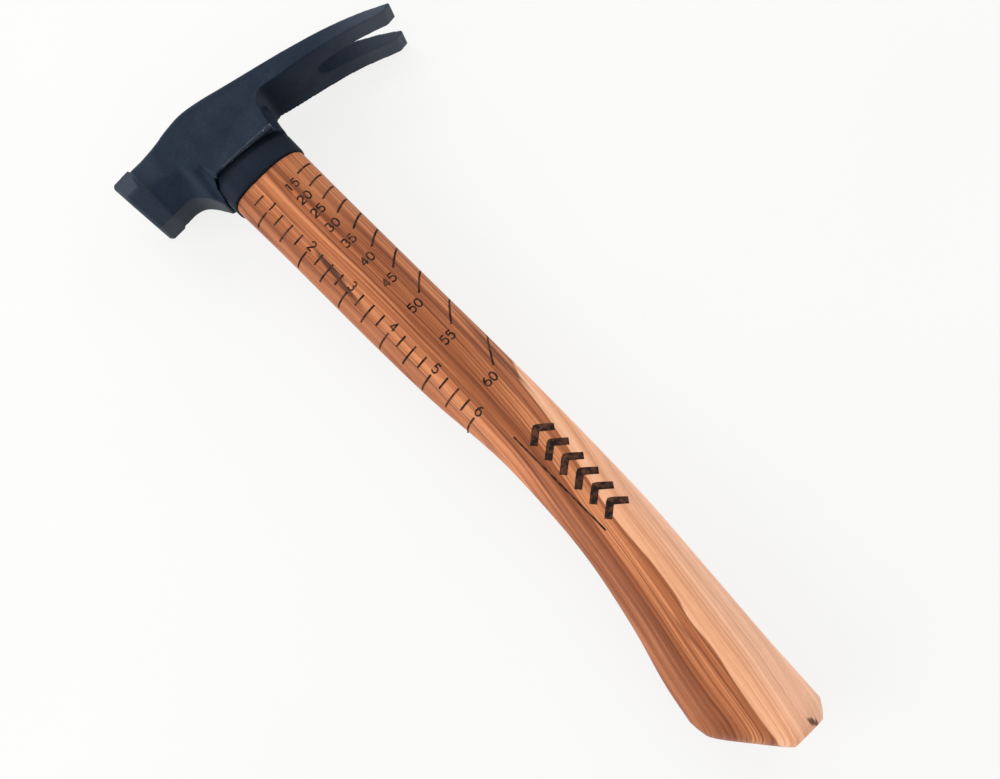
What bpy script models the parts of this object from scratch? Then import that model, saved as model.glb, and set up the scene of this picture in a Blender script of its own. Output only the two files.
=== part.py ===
"""A 14.5 inch claw hammer with a rip claw, a hexagonal poll and a hickory handle.

Lengths below are in millimetres and the model is in metres.
x runs along the handle toward the head and is 0 at the zero of the handle's ruler,
y runs toward the striking face, and z runs sideways.
At the end everything is moved so that the origin is the middle of the underside.
"""

import math

import bmesh
import bpy
from mathutils import Matrix, Vector

MM = 0.001
GAP = 0.3  # between pieces that touch in the real object

# Poll: a hexagonal block with blunted side corners, narrower top and bottom than its sides.
POLL_TOP = 35.8
POLL_BOTTOM = 5.8
POLL_HALF_WIDTH = 16.8
POLL_FLAT_HALF = 8.6
POLL_BACK = 40.2
POLL_BACK_BOW = 1.5  # how much further forward the back edge is at the side corners
FACE_TOP = 50.0
FACE_BOTTOM = 48.0
FACE_CHAMFER = 1.2

# Body, cheeks and claw.
BODY_HALF = 13.8
CHEEK_HALF = 14.4
CHEEK_FLARE = 1.9
CLAW_TIP = -89.3
CLAW_TIP_HALF = 20.2
TOP_EDGE = 1.0

# The outline of the head's top, as (y, x).
TOP_LINE = [
    (39.2, 33.3), (30.0, 33.3), (23.0, 34.0), (15.0, 35.2), (7.0, 35.7), (-3.0, 34.1),
    (-14.0, 31.2), (-30.0, 26.9), (-45.5, 22.3), (-63.0, 15.8), (-79.0, 7.9), (CLAW_TIP, 1.0),
]
# Half of the top's width, as (y, z).
TOP_WIDTH = [
    (39.2, 12.4), (30.0, 13.2), (15.0, BODY_HALF), (-14.0, BODY_HALF), (-30.0, 14.0),
    (-46.0, 14.8), (-63.0, 16.4), (-79.0, 18.4), (CLAW_TIP, CLAW_TIP_HALF),
]
# The underside of the claw, as (y, x, half width), and where it starts at the cheeks.
CLAW_ROOT = (-25.8, 16.3, 16.6)
CLAW_UNDERSIDE = [
    (-30.0, 15.2, 16.9), (-45.0, 11.9, 17.7), (-65.0, 6.8, 18.6), (-84.6, -0.5, 19.8),
]

# Nail slot of the claw: (y, half width on the top, half width on the underside).
SLOT = [
    (-50.2, 0.6, 1.8), (-51.0, 1.2, 3.9), (-53.0, 1.9, 5.4), (-58.0, 2.7, 6.4),
    (-66.0, 3.8, 7.3), (-78.0, 5.2, 8.1), (-86.0, 5.9, 8.0), (-92.0, 6.3, 7.8),
]

# Eye through the head, and the handle's tenon in it.
EYE_CENTRE = 0.4
EYE_HALF_LONG = 14.2
EYE_HALF_SHORT = 10.2
EYE_FLARE = 0.9

# Handle: (x, toward the face, toward the claw, half thickness).
GRIP = [
    (-11.9, 18.5, -18.8, 12.6), (-44.0, 18.1, -18.3, 12.5), (-98.0, 18.1, -17.9, 12.2),
    (-133.0, 17.4, -17.8, 12.0), (-167.0, 15.0, -17.3, 11.8), (-192.0, 15.5, -16.6, 11.8),
    (-224.0, 18.4, -15.3, 12.2), (-256.0, 25.0, -12.6, 13.0), (-280.0, 31.8, -10.4, 13.6),
    (-297.0, 35.2, -8.9, 13.9),
]
BUTT = [
    (-302.5, 34.7, -8.5, 13.9), (-308.5, 32.4, -8.1, 13.9), (-325.0, 19.2, -6.9, 13.7),
    (-329.2, 15.7, -4.0, 12.7), (-331.4, 13.4, -1.8, 11.0),
]
SQUARENESS = 2.3
# The side toward the face is squarer at the head, and as round as the rest from SQUARE_END on.
COLLAR_SQUARENESS = 3.6
SQUARE_END = -150.0

# Underside of the eye's walls: its x at y = 0, and how fast x rises toward the face.
UNDERSIDE = 1.98
UNDERSIDE_SLOPE = 0.0686
COLLAR_SINK = 0.15  # how far the collar's pocket cuts into the underside

# Round boss at the claw side of the eye, as (x, reach toward the claw).
BOSS = [(0.0, 20.3), (4.0, 20.7), (8.0, 21.4), (12.0, 22.4), (18.0, 22.4)]
BOSS_FRONT = 14.0
BOSS_HALF = 13.4

# Collar below the head.
COLLAR_BOTTOM = -11.6
COLLAR_HALF_LONG = 19.5
COLLAR_HALF_SHORT = 13.8
COLLAR_CENTRE = -0.2
COLLAR_RISE = 0.3  # how much further it reaches toward the claw at its top
# Under the head the collar is drawn in by the waist, between these distances from its top.
COLLAR_WAIST = 1.0
COLLAR_WAIST_START = 4.2
COLLAR_WAIST_END = 1.4
COLLAR_BORE_LONG = 17.7
COLLAR_BORE_SHORT = 11.9

# Wedges.
WOOD_WEDGE_TOP = 1.6
WOOD_WEDGE_TIP = 0.5
WOOD_WEDGE_DEPTH = 20.0
STEEL_WEDGE_TOP = 0.9
STEEL_WEDGE_TIP = 0.35
STEEL_WEDGE_DEPTH = 9.0
STEEL_WEDGE_HALF = 6.0
STEEL_WEDGE_PLACES = {"steel_wedge_front": 7.0, "steel_wedge_rear": -6.6}

RING_POINTS = 36


def clear_scene():
    for old in list(bpy.data.objects):
        bpy.data.objects.remove(old, do_unlink=True)


def curve_through(points, at):
    """A smooth curve through rows that start with their position, read at one position."""
    rows = sorted(points)
    places = [row[0] for row in rows]
    at = min(max(at, places[0]), places[-1])
    i = max(k for k in range(len(places) - 1) if places[k] <= at)
    span = places[i + 1] - places[i]
    u = (at - places[i]) / span
    found = []
    for column in range(1, len(rows[0])):
        values = [row[column] for row in rows]
        slopes = []
        for k in (i, i + 1):
            low = max(k - 1, 0)
            high = min(k + 1, len(rows) - 1)
            slopes.append((values[high] - values[low]) / (places[high] - places[low]) * span)
        a, b = values[i], values[i + 1]
        found.append(
            a * (2 * u**3 - 3 * u**2 + 1)
            + slopes[0] * (u**3 - 2 * u**2 + u)
            + b * (3 * u**2 - 2 * u**3)
            + slopes[1] * (u**3 - u**2)
        )
    return found if len(found) > 1 else found[0]


def smooth_rows(controls, steps):
    """Rows between the control rows, on a smooth curve that passes through each."""
    numbered = [(k, *row) for k, row in enumerate(controls)]
    count = (len(controls) - 1) * steps
    return [tuple(curve_through(numbered, k / steps)) for k in range(count + 1)]


def add_object(name, points, faces, material):
    mesh = bpy.data.meshes.new(name)
    mesh.from_pydata([Vector(p) * MM for p in points], [], faces)
    work = bmesh.new()
    work.from_mesh(mesh)
    bmesh.ops.recalc_face_normals(work, faces=work.faces)
    work.to_mesh(mesh)
    work.free()
    obj = bpy.data.objects.new(name, mesh)
    bpy.context.scene.collection.objects.link(obj)
    if material:
        mesh.materials.append(material)
    return obj


def mirrored_cap(ring, start):
    """Quads across a ring whose second half mirrors its first half in z."""
    count = len(ring)
    faces = []
    for k in range(count // 2):
        a, b = start + k, start + k + 1
        c, d = start + (count - 2 - k) % count, start + (count - 1 - k) % count
        face = list(dict.fromkeys((a, b, c, d)))
        if len(face) > 2 and b < start + (count + 1) // 2:
            faces.append(tuple(face))
    return faces


def loft(name, rings, material=None):
    """A closed skin over rings of points, each ring mirrored in z about its middle."""
    count = len(rings[0])
    points = [p for ring in rings for p in ring]
    faces = mirrored_cap(rings[0], 0)
    for r in range(len(rings) - 1):
        for k in range(count):
            n = (k + 1) % count
            faces.append(
                (r * count + k, r * count + n, (r + 1) * count + n, (r + 1) * count + k)
            )
    faces += mirrored_cap(rings[-1], (len(rings) - 1) * count)
    return add_object(name, points, faces, material)


def oval(x, centre, half_long, half_short, slope=0.0, front=SQUARENESS):
    """One oval ring across the handle, with a squareness of its own toward the face.

    Its points pair up as mirror images in z.
    """
    ring = []
    for k in range(RING_POINTS):
        angle = 2 * math.pi * (k + 0.5) / RING_POINTS
        c, s = math.cos(angle), math.sin(angle)
        power = 2 / (front if c > 0 else SQUARENESS)
        y = centre + half_long * math.copysign(abs(c) ** power, c)
        z = half_short * math.copysign(abs(s) ** power, s)
        ring.append((x + slope * y, y, z))
    return ring


def grip_ring(x, face, claw, half):
    share = min(1.0, max(0.0, (x - SQUARE_END) / (COLLAR_BOTTOM - SQUARE_END)))
    front = SQUARENESS + (COLLAR_SQUARENESS - SQUARENESS) * share
    return oval(x, (face + claw) / 2, (face - claw) / 2, half, 0.0, front)


def under_the_top(ring, gap):
    """The same ring lifted to this far below the outline of the head's top."""
    return [(curve_through(TOP_LINE, y) - gap, y, z) for _, y, z in ring]


def block(name, x_low, x_high, y_low, y_high, z_low, z_high, slope, along, material=None):
    """A wedge: half thickness z_low or y_low at its tip, z_high or y_high at its top."""
    rings = []
    for x, y, z in ((x_low, y_low, z_low), (x_high, y_high, z_high)):
        corners = ((y, z), (-y, z), (-y, -z), (y, -z))
        rings.append([(x + slope * cy, along + cy, cz) for cy, cz in corners])
    return loft(name, rings, material)


def cut(target, cutter, operation="DIFFERENCE"):
    cutter.hide_render = True
    cutter.display_type = "WIRE"
    modifier = target.modifiers.new(cutter.name, "BOOLEAN")
    modifier.operation = operation
    modifier.solver = "EXACT"
    modifier.object = cutter


def apply_modifiers(obj):
    graph = bpy.context.evaluated_depsgraph_get()
    made = bpy.data.meshes.new_from_object(obj.evaluated_get(graph))
    obj.modifiers.clear()
    obj.data = made


def shade(obj, degrees):
    for polygon in obj.data.polygons:
        polygon.use_smooth = True
    obj.data.set_sharp_from_angle(angle=math.radians(degrees))


def make_material(name, colour, metallic, roughness):
    material = bpy.data.materials.new(name)
    material.use_nodes = True
    shader = material.node_tree.nodes["Principled BSDF"]
    shader.inputs["Base Color"].default_value = (*colour, 1.0)
    shader.inputs["Metallic"].default_value = metallic
    shader.inputs["Roughness"].default_value = roughness
    material.diffuse_color = (*colour, 1.0)
    return material


def head_ring(top, bottom, rows):
    """One ring of the head. rows are (share of the way up, half width), from bottom to top."""
    side = []
    for share, half in rows:
        y = bottom[0] + (top[0] - bottom[0]) * share
        x = bottom[1] + (top[1] - bottom[1]) * share
        side.append((x, y, half))
    return side + [(x, y, -z) for x, y, z in reversed(side)]


def poll_rings():
    """The block: the face inset by its chamfer, the full block, and its back edge."""
    middle = (22.0 - POLL_BOTTOM) / (POLL_TOP - POLL_BOTTOM)
    rings = []
    for inset, depth in ((FACE_CHAMFER, 0.0), (0.0, FACE_CHAMFER), (0.0, None)):
        if depth is None:
            top = (POLL_BACK, POLL_TOP + 0.3)
            bottom = (POLL_BACK - 0.4, POLL_BOTTOM)
        else:
            top = (FACE_TOP - depth, POLL_TOP - inset)
            bottom = (FACE_BOTTOM - depth, POLL_BOTTOM + inset)
        flat = POLL_FLAT_HALF - inset * 0.5
        wide = POLL_HALF_WIDTH - inset
        rows = [
            (0.0, flat), (middle - 0.03, wide), (middle + 0.03, wide),
            (0.9, flat + (wide - flat) * 0.2), (1.0, flat),
        ]
        ring = head_ring(top, bottom, rows)
        if depth is None:
            bow = POLL_BACK_BOW / (wide - flat)
            ring = [(x, y + bow * (abs(z) - flat), z) for x, y, z in ring]
        rings.append(ring)
    return rings


def body_ring(top_y, bottom_y, bottom_x, bottom_half, share_1, half_1, share_2, half_2):
    """A ring behind the poll, whose top follows the outline of the head's top."""
    top = (top_y, curve_through(TOP_LINE, top_y))
    half_top = curve_through(TOP_WIDTH, top_y)
    height = math.hypot(top[0] - bottom_y, top[1] - bottom_x)
    edge = 1 - TOP_EDGE / height
    rows = [
        (0.0, bottom_half), (share_1, half_1), (share_2, half_2),
        (edge, half_top), (1.0, half_top - TOP_EDGE),
    ]
    return head_ring(top, (bottom_y, bottom_x), rows)


def underside(y):
    return UNDERSIDE + UNDERSIDE_SLOPE * y


def head_rings():
    """Columns are (top y, bottom y, bottom x, half width there, share, half, share, half)."""
    neck = [
        (39.5, 39.5, 6.2, 7.8, 0.47, 14.4, 0.56, 14.4),
        (35.0, 35.5, 6.2, 8.2, 0.46, 15.0, 0.58, 14.8),
        (30.5, 31.5, 6.2, 8.5, 0.44, 15.0, 0.60, 14.6),
        (26.5, 27.6, 4.6, 8.6, 0.42, 12.9, 0.62, 13.2),
        (23.5, 24.4, 1.0, 8.8, 0.42, 12.6, 0.62, 13.2),
        (21.5, 22.3, -2.8, 8.8, 0.42, 13.7, 0.62, 13.7),
        (20.4, 20.9, -6.2, 7.2, 0.42, 14.1, 0.62, 13.9),
    ]
    lip = [
        (19.8, 15.5, -6.0, 9.6, 0.42, 14.2, 0.62, 14.0),
        (17.8, 15.2, 0.0, 12.0, 0.32, 14.2, 0.61, 14.0),
    ]
    nose = [
        (17.8, 15.2, 0.0, 12.0, 0.32, 14.2, 0.61, 14.0),
        (15.8, 14.6, 2.2, 13.5, 0.12, 14.3, 0.58, 14.1),
        (13.6, 13.4, underside(13.4), 14.4, 0.03, CHEEK_HALF, 0.56, 14.2),
    ]
    cheek = [
        (13.6, 13.4, underside(13.4), 14.4, 0.03, CHEEK_HALF, 0.56, 14.2),
        (7.0, 7.0, underside(7.0), 14.9, 0.13, CHEEK_HALF, 0.56, 14.2),
        (0.0, 0.0, underside(0.0), 15.5, 0.27, CHEEK_HALF, 0.60, 14.2),
        (-9.0, -9.0, underside(-9.0), 16.1, 0.43, CHEEK_HALF, 0.66, 14.2),
        (-17.0, -17.2, underside(-17.2), CHEEK_HALF + CHEEK_FLARE, 0.50, CHEEK_HALF, 0.72, 14.2),
    ]
    wall = [
        (-17.0, -17.2, underside(-17.2), CHEEK_HALF + CHEEK_FLARE, 0.50, CHEEK_HALF, 0.72, 14.2),
        (-18.5, -17.8, 6.0, 16.3, 0.39, CHEEK_HALF, 0.68, 14.1),
        (-20.1, -18.9, 10.7, 16.3, 0.25, 14.5, 0.60, 14.1),
        (-21.9, -20.7, 13.9, 16.3, 0.16, 14.6, 0.55, 14.1),
        (-23.9, -23.0, 15.7, 16.4, 0.14, 14.7, 0.50, 14.1),
        (-26.2, -25.8, 16.3, 16.6, 0.18, 14.8, 0.50, 14.1),
    ]
    rings = []
    for part, steps in ((neck, 2), (lip, 1), (nose, 2), (cheek, 1), (wall, 2)):
        rows = smooth_rows(part, steps) if steps > 1 else part
        rings += [body_ring(*row) for row in rows[(0 if part is neck or part is lip else 1):]]
    strip = [(-26.0, 0.18), (-30.0, 0.30), (-38.0, 0.52), (-46.0, 0.76), (-54.0, 0.86)]
    for y in (-30.0, -35.0, -40.0, -45.0, -50.0, -55.0, -60.0, -65.0, -70.0, -75.0, -80.0, -84.6):
        x, half = curve_through([CLAW_ROOT] + CLAW_UNDERSIDE, y)
        share = curve_through(strip, max(y, -54.0))
        half_top = curve_through(TOP_WIDTH, y)
        blend = min(1.0, max(0.0, (-30.0 - y) / 24.0))
        low = (14.9 + 0.2 * blend) * (1 - blend) + (half + (half_top - half) * share) * blend
        second = share + (1 - share) * 0.45
        high = half_top + (low - half_top) * 0.4
        rings.append(body_ring(y, y, x, half, share, low, second, high))
    tip = head_ring(
        (CLAW_TIP, 1.0), (CLAW_TIP + 0.1, 0.3),
        [(0.0, CLAW_TIP_HALF), (0.3, CLAW_TIP_HALF), (0.5, CLAW_TIP_HALF),
         (0.8, CLAW_TIP_HALF), (1.0, CLAW_TIP_HALF - 0.1)],
    )
    rings.append(tip)
    return rings


def slot_cutter():
    """The V slot, narrow on the claw's top and wide on its underside."""
    rings = []
    for y, half_top, half_under in SLOT:
        inside = max(y, CLAW_TIP)
        high = curve_through(TOP_LINE, inside) + 3.0
        low = curve_through([CLAW_ROOT] + CLAW_UNDERSIDE, max(y, -84.6))[0] - 3.0
        rings.append([(high, y, half_top), (low, y, half_under), (low, y, -half_under),
                      (high, y, -half_top)])
    return loft("slot_cutter", rings)


def eye_cutter():
    low = oval(-12.0, EYE_CENTRE, EYE_HALF_LONG, EYE_HALF_SHORT)
    high = oval(44.0, EYE_CENTRE, EYE_HALF_LONG + EYE_FLARE, EYE_HALF_SHORT + EYE_FLARE)
    return loft("eye_cutter", [low, high])


def make_boss():
    rings = []
    for x, reach in BOSS:
        centre, half = (BOSS_FRONT - reach) / 2, (BOSS_FRONT + reach) / 2
        rings.append(oval(x, centre, half, BOSS_HALF))
    return loft("boss", rings)


def collar_ring(x, grow, rise=0.0, slope=0.0):
    """The collar's outline, grown by grow and reaching rise further toward the claw."""
    half = COLLAR_HALF_LONG + grow + rise / 2
    short = COLLAR_HALF_SHORT + grow
    return oval(x, COLLAR_CENTRE - rise / 2, half, short, slope, COLLAR_SQUARENESS)


def pocket_cutter():
    """The room for the collar under the eye and behind the lip."""
    return loft("pocket_cutter", [
        collar_ring(COLLAR_BOTTOM - 4.0, GAP),
        collar_ring(UNDERSIDE + COLLAR_SINK, GAP, COLLAR_RISE, UNDERSIDE_SLOPE),
    ])


def make_head(material):
    rings = poll_rings() + head_rings()
    head = loft("hammer_head", rings, material)
    cut(head, make_boss(), "UNION")
    cut(head, pocket_cutter())
    cut(head, eye_cutter())
    cut(head, slot_cutter())
    apply_modifiers(head)
    shade(head, 24)
    return head


def kerf_cutter(name, clearance):
    """The saw kerf in the tenon, which the wooden wedge fills."""
    return block(
        name, 33.5 - WOOD_WEDGE_DEPTH - 1.0, 40.0, 22.0, 22.0,
        WOOD_WEDGE_TIP + clearance, WOOD_WEDGE_TOP + clearance + 0.3, 0.0, 0.0,
    )


def steel_cutter(name, y):
    top = curve_through(TOP_LINE, y)
    return block(
        name, top - STEEL_WEDGE_DEPTH - GAP - 0.5, top + 4.0, STEEL_WEDGE_TIP + GAP,
        STEEL_WEDGE_TOP + GAP + 0.3, STEEL_WEDGE_HALF + GAP, STEEL_WEDGE_HALF + GAP, 0.0, y,
    )


def make_handle(material):
    flare = EYE_FLARE * 0.6 - GAP
    top = oval(0, EYE_CENTRE, EYE_HALF_LONG + flare, EYE_HALF_SHORT + flare)
    rings = [under_the_top(top, GAP)]
    rings.append(oval(0.4, EYE_CENTRE, EYE_HALF_LONG - GAP, EYE_HALF_SHORT - GAP))
    rebate = (COLLAR_BORE_LONG - GAP, COLLAR_BORE_SHORT - GAP)
    square = COLLAR_SQUARENESS
    rings.append(oval(-0.2, 0.0, rebate[0] - 0.6, rebate[1] - 0.6, 0.0, square))
    rings.append(oval(-0.8, 0.0, *rebate, 0.0, square))
    rings.append(oval(COLLAR_BOTTOM - GAP, 0.0, *rebate, 0.0, square))
    first = GRIP[0]
    rings.append(oval(first[0] - 0.05, -0.15, 18.2, 12.2, 0.0, square))
    places = [first[0] - 0.6] + [-24.0 - 12.0 * k for k in range(23)] + [-296.0]
    for x in places:
        rings.append(grip_ring(x, *curve_through(GRIP, x)))
    for row in BUTT:
        rings.append(grip_ring(*row))
    handle = loft("handle", rings, material)
    cut(handle, kerf_cutter("kerf_cutter", GAP))
    for name, y in STEEL_WEDGE_PLACES.items():
        cut(handle, steel_cutter("handle_" + name, y))
    apply_modifiers(handle)
    shade(handle, 30)
    return handle


def make_collar(material):
    top = UNDERSIDE + COLLAR_SINK - GAP
    rings = [
        collar_ring(COLLAR_BOTTOM, -0.7),
        collar_ring(COLLAR_BOTTOM + 0.25, -0.2),
        collar_ring(COLLAR_BOTTOM + 0.8, 0.0),
        collar_ring(top - COLLAR_WAIST_START, 0.0),
        collar_ring(top - COLLAR_WAIST_END, 0.1 - COLLAR_WAIST, COLLAR_RISE, UNDERSIDE_SLOPE),
        collar_ring(top, -COLLAR_WAIST, COLLAR_RISE, UNDERSIDE_SLOPE),
    ]
    collar = loft("overstrike_collar", rings, material)
    bore = loft("bore_cutter", [
        oval(x, 0.0, COLLAR_BORE_LONG, COLLAR_BORE_SHORT, 0.0, COLLAR_SQUARENESS)
        for x in (COLLAR_BOTTOM - 5, top + 8)
    ])
    cut(collar, bore)
    apply_modifiers(collar)
    shade(collar, 40)
    return collar


def make_wooden_wedge(material):
    """A tapered slip the length of the eye, its top following the head's top."""
    half_long = EYE_HALF_LONG - GAP - 0.3
    rings = []
    steps = 6
    for k in range(steps + 1):
        y = EYE_CENTRE - half_long + 2 * half_long * k / steps
        top = curve_through(TOP_LINE, y) - GAP - 0.2
        tip = 33.5 - WOOD_WEDGE_DEPTH
        rings.append([(top, y, WOOD_WEDGE_TOP), (tip, y, WOOD_WEDGE_TIP),
                      (tip, y, -WOOD_WEDGE_TIP), (top, y, -WOOD_WEDGE_TOP)])
    wedge = loft("wooden_wedge", rings, material)
    for name, y in STEEL_WEDGE_PLACES.items():
        cut(wedge, steel_cutter("slip_" + name, y))
    apply_modifiers(wedge)
    return wedge


def make_steel_wedge(name, y, material):
    top = min(curve_through(TOP_LINE, y + d) for d in (-1, 1)) - GAP
    return block(
        name, top - STEEL_WEDGE_DEPTH, top, STEEL_WEDGE_TIP, STEEL_WEDGE_TOP,
        STEEL_WEDGE_HALF, STEEL_WEDGE_HALF, 0.0, y, material,
    )


def rest_on_origin(objects):
    """Puts the origin in the middle of the underside of all the pieces together."""
    corners = [v.co for obj in objects for v in obj.data.vertices]
    low = [min(c[i] for c in corners) for i in range(3)]
    high = [max(c[i] for c in corners) for i in range(3)]
    middle = Vector(((low[0] + high[0]) / 2, (low[1] + high[1]) / 2, low[2]))
    for obj in objects:
        obj.data.transform(Matrix.Translation(-middle))


def main():
    clear_scene()
    black_steel = make_material("black_coated_steel", (0.022, 0.027, 0.036), 0.35, 0.42)
    sleeve = make_material("collar_black", (0.020, 0.024, 0.032), 0.3, 0.45)
    hickory = make_material("hickory", (0.62, 0.33, 0.19), 0.0, 0.45)
    maple = make_material("wedge_wood", (0.66, 0.45, 0.27), 0.0, 0.6)
    bare_steel = make_material("wedge_steel", (0.45, 0.45, 0.46), 1.0, 0.4)
    pieces = [
        make_head(black_steel),
        make_handle(hickory),
        make_collar(sleeve),
        make_wooden_wedge(maple),
    ]
    for name, y in STEEL_WEDGE_PLACES.items():
        pieces.append(make_steel_wedge(name, y, bare_steel))
    for obj in list(bpy.data.objects):
        if obj not in pieces:
            bpy.data.objects.remove(obj, do_unlink=True)
    rest_on_origin(pieces)


main()
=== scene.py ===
"""A wooden-handled claw hammer lying on a pale floor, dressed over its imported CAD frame.

Shapes are worked out in the CAD's own local millimetres: x runs along the handle toward
the head and is 0 at the zero of the ruler, y runs toward the striking face, and z runs
sideways. put() turns them into the frame's metres.
"""

import math

import bmesh
import bpy
from mathutils import Matrix, Vector, noise


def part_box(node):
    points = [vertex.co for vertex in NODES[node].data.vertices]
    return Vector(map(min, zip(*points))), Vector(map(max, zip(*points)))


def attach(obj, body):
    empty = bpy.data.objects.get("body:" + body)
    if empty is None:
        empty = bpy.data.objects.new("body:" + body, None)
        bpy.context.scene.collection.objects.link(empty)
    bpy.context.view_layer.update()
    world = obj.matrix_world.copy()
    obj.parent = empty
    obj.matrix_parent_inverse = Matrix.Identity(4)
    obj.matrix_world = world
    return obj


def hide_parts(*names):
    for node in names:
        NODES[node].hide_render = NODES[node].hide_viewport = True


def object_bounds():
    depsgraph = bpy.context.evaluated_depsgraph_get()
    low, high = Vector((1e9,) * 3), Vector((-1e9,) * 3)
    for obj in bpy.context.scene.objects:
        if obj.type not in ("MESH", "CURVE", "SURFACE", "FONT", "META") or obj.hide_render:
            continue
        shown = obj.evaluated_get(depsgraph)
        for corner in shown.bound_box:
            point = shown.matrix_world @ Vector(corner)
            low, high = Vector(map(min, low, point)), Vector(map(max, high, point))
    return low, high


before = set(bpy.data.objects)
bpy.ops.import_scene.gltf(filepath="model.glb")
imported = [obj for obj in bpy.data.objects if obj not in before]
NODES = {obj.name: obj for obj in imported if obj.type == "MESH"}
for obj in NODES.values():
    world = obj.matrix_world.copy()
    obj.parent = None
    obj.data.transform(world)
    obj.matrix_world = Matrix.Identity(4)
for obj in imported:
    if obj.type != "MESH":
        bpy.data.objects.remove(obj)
CAD_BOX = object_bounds()
MM = 0.001

# The local origin in the frame, from the head's highest x, its claw tips and its middle.
HEAD_LOW, HEAD_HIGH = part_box("hammer_head")
HEAD_REACH = 36.1
CLAW_TIP = -89.3
ORIGIN = Vector((
    HEAD_HIGH.x - HEAD_REACH * MM,
    HEAD_LOW.y - CLAW_TIP * MM,
    (HEAD_LOW.z + HEAD_HIGH.z) / 2,
))

# Head.
POLL_TOP = 35.8
POLL_BOTTOM = 5.8
POLL_HALF_WIDTH = 16.8
POLL_FLAT_HALF = 8.6
POLL_WIDEST = 22.0
POLL_SWELL = 0.3
POLL_BACK = 40.2
POLL_BACK_BOW = 1.5
FACE_TOP = 50.0
FACE_BOTTOM = 48.0
FACE_CHAMFER = 1.2
BODY_HALF = 13.8
CHEEK_HALF = 14.4
CHEEK_FLARE = 1.9
CLAW_TIP_HALF = 20.2
TOP_EDGE = 1.0
TOP_LINE = [
    (39.2, 33.3), (30.0, 33.3), (23.0, 34.0), (15.0, 35.2), (7.0, 35.7), (-3.0, 34.1),
    (-14.0, 31.2), (-30.0, 26.9), (-45.5, 22.3), (-63.0, 15.8), (-79.0, 7.9), (CLAW_TIP, 1.0),
]
TOP_WIDTH = [
    (39.2, 12.4), (30.0, 13.2), (15.0, BODY_HALF), (-14.0, BODY_HALF), (-30.0, 14.0),
    (-46.0, 14.8), (-63.0, 16.4), (-79.0, 18.4), (CLAW_TIP, CLAW_TIP_HALF),
]
CLAW_UNDERSIDE = [
    (-25.8, 16.3, 16.6), (-30.0, 15.2, 16.9), (-45.0, 11.9, 17.7), (-65.0, 6.8, 18.6),
    (-84.6, -0.5, 19.8),
]
# How much of the claw's side its lower strip takes up, as (y, share).
CLAW_STRIP = [(-26.0, 0.18), (-30.0, 0.30), (-38.0, 0.52), (-46.0, 0.76), (-54.0, 0.86)]
SLOT = [
    (-50.2, 0.6, 1.8), (-51.0, 1.2, 3.9), (-53.0, 1.9, 5.4), (-58.0, 2.7, 6.4),
    (-66.0, 3.8, 7.3), (-78.0, 5.2, 8.1), (-86.0, 5.9, 8.0), (-92.0, 6.3, 7.8),
]
SLOT_PAST = 3.0
CLAW_ROOT = -28.0
CLAW_END = CLAW_UNDERSIDE[-1][0]
CLAW_STEP = 1.4
CLAW_FLANK = 14.9
EYE_CENTRE = 0.4
EYE_HALF_LONG = 14.2
EYE_HALF_SHORT = 10.2
EYE_FLARE = 0.9
EYE_LOW = -12.0  # the eye's cutter runs past the head at both ends
EYE_HIGH = 44.0
VOXEL = 0.45

# The neck is rounded from NECK_FROM to NECK_TO, and the claw a little past CLAW_FROM. Each is
# the y where the rounding starts and the y where it is full.
NECK_FROM = (20.2, 21.4)
NECK_TO = (37.5, 36.0)
CLAW_FROM = (-40.0, -48.0)
CLAW_ROUNDING = 0.22

# Low edges past the cheeks' ends, on the lip and at the claw's root, aren't worn.
WEAR_LOW = 7.0
WEAR_ENDS = (-18.5, 13.0)
WEAR_GAIN = 2.5

# Handle, as (x, toward the face, toward the claw, half thickness).
GRIP = [
    (-11.9, 18.5, -18.8, 12.6), (-44.0, 18.1, -18.3, 12.5), (-98.0, 18.1, -17.9, 12.2),
    (-133.0, 17.4, -17.8, 12.0), (-167.0, 15.0, -17.3, 11.8), (-192.0, 15.5, -16.6, 11.8),
    (-224.0, 18.4, -15.3, 12.2), (-256.0, 25.0, -12.6, 13.0), (-280.0, 31.8, -10.4, 13.6),
    (-297.0, 35.2, -8.9, 13.9),
]
BUTT = [
    (-302.5, 34.7, -8.5, 13.9), (-308.5, 32.4, -8.1, 13.9), (-325.0, 19.2, -6.9, 13.7),
    (-329.2, 15.7, -4.0, 12.7), (-331.4, 13.4, -1.8, 11.0),
]
SQUARENESS = 2.3
COLLAR_SQUARENESS = 3.6
SQUARE_END = -150.0
GRIP_STEP = 2.0
GAP = 0.3
AROUND = 96

# The tenon's share of the eye's flare, and its cuts for the wooden wedge and the steel ones.
TENON_FLARE = 0.6
KERF_BOTTOM = 12.5
KERF_TOP = 40.0
KERF_REACH = 22.0
KERF_HALVES = (0.8, 2.2)
SLITS = (7.0, -6.6)
SLIT_DEPTH = 9.8
SLIT_REACH = 6.3
SLIT_HALVES = (0.65, 1.5)
CUT_PAST = 4.0

# Underside of the eye, the boss behind it, and the collar.
UNDERSIDE = 1.98
UNDERSIDE_SLOPE = 0.0686
COLLAR_SINK = 0.15
BOSS = [(0.0, 20.3), (4.0, 20.7), (8.0, 21.4), (12.0, 22.4), (18.0, 22.4)]
BOSS_FRONT = 14.0
BOSS_HALF = 13.4
COLLAR_BOTTOM = -11.6
COLLAR_HALF_LONG = 19.5
COLLAR_HALF_SHORT = 13.8
COLLAR_CENTRE = -0.2
COLLAR_RISE = 0.3
COLLAR_BORE_LONG = 17.7
COLLAR_BORE_SHORT = 11.9

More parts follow.
